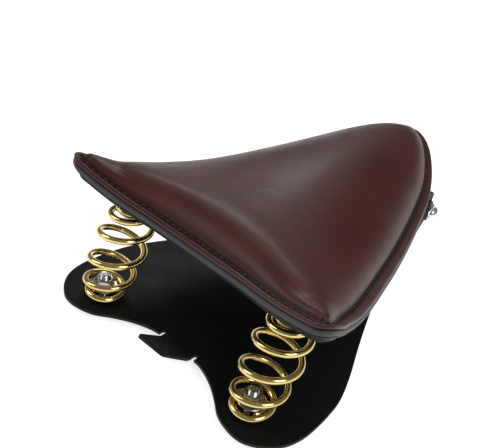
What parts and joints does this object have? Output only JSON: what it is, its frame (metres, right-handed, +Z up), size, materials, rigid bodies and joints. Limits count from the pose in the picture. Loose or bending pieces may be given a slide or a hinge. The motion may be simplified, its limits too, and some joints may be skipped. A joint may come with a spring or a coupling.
{
  "type": "sprung solo motorcycle seat",
  "caption": "Low leather solo saddle on a steel pan, hinged at the nose over a flat mounting plate and carried at the rear by short barrel springs.",
  "frame": {"origin": "centre of the footprint on the plane that the lower bolt heads stand on", "axes": "+X to the rider's right, +Y forward from the springs to the hinge at the nose, +Z up"},
  "size_m": [0.236, 0.3298, 0.1244],
  "materials": {
    "black_steel": "satin black powder coat",
    "edge_vinyl": "matt dark grey",
    "foam": "open-cell foam",
    "oxblood_leather": "semi-gloss",
    "dark_thread": "waxed thread",
    "gold_steel": "polished gold plating",
    "zinc_steel": "bright zinc",
    "rubber": "matt"
  },
  "bodies": {
    "base": {"base_plate": "black_steel", "base_bracket": "black_steel", "pivot_bolt": "zinc_steel", "pivot_dome_nut": "zinc_steel", "spring_left": "gold_steel", "spring_seat_ring_left": "gold_steel", "lower_bolt_left": "zinc_steel", "lower_washer_left": "zinc_steel", "lower_nut_left": "zinc_steel", "pivot_washer_left": "rubber", "pivot_bush_left": "rubber", "bracket_bolt_left": "zinc_steel", "bracket_nut_left": "zinc_steel", "spring_right": "gold_steel", "spring_seat_ring_right": "gold_steel", "lower_bolt_right": "zinc_steel", "lower_washer_right": "zinc_steel", "lower_nut_right": "zinc_steel", "pivot_washer_right": "rubber", "pivot_bush_right": "rubber", "bracket_bolt_right": "zinc_steel", "bracket_nut_right": "zinc_steel"},
    "seat": {"seat_pan": "black_steel", "edge_band": "edge_vinyl", "foam_pad": "foam", "leather_cover": "oxblood_leather", "cover_stitching": "dark_thread", "nose_bracket": "black_steel", "pivot_sleeve": "zinc_steel", "upper_bolt_left": "zinc_steel", "upper_washer_left": "zinc_steel", "upper_nut_left": "zinc_steel", "upper_bolt_right": "zinc_steel", "upper_washer_right": "zinc_steel", "upper_nut_right": "zinc_steel", "pan_bolt_left": "zinc_steel", "pan_nut_left": "zinc_steel", "pan_bolt_right": "zinc_steel", "pan_nut_right": "zinc_steel", "pan_bolt_front": "zinc_steel", "pan_nut_front": "zinc_steel"}
  },
  "joints": [
    {"name": "seat_pivot", "type": "hinge", "parent": "base", "child": "seat", "pos_m": [0, 0.11887, 0.06216], "axis": [1, 0, 0], "range_deg": [-2, 6], "stiffness_Nm_per_rad": 3500, "deforming": ["spring_left", "spring_right"]}
  ]
}
